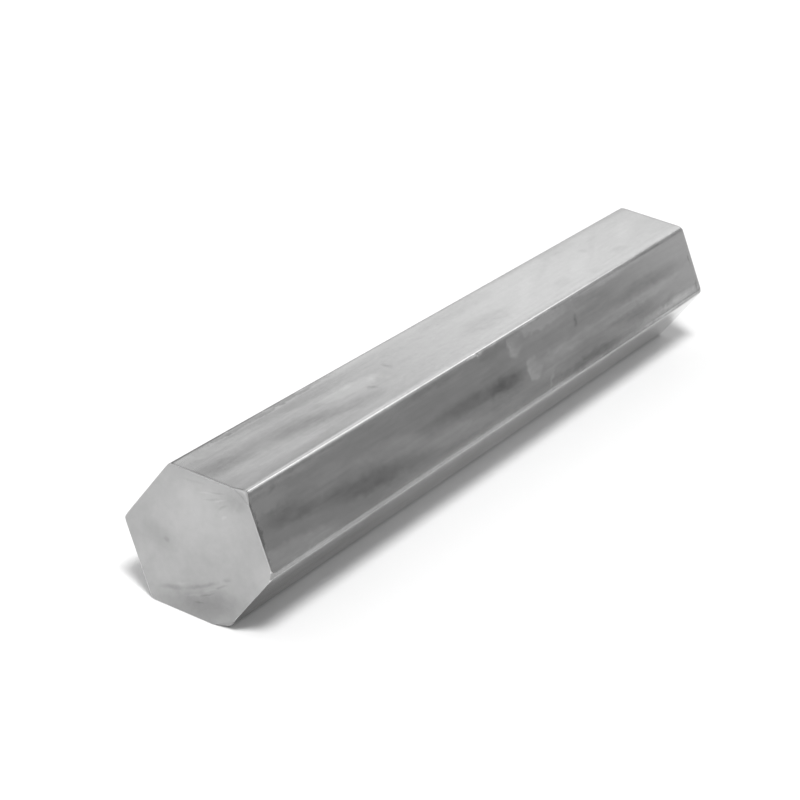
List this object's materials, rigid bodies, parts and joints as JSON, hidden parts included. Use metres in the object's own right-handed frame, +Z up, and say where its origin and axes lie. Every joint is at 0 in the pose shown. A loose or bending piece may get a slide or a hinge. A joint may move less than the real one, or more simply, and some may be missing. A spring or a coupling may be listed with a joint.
{
  "type": "hex bar stock",
  "caption": "Short length of bright drawn hexagonal steel bar stock with turned and deburred ends, lying on a flat, to be machined, welded or gripped by its flats.",
  "frame": {"origin": "centre of the bar's footprint, on the level surface that its lower flat lies on", "axes": "+X along the bar from the end nearest the picture's camera to the far end, +Z up through the upper flat, +Y across the corners"},
  "size_m": [0.3048, 0.051, 0.0444],
  "materials": {
    "drawn_steel": "satin bright-drawn flats with faint lengthwise streaks, dull faced ends, light handling smudges"
  },
  "bodies": {
    "root": {"hex_bar": "drawn_steel"}
  },
  "joints": []
}
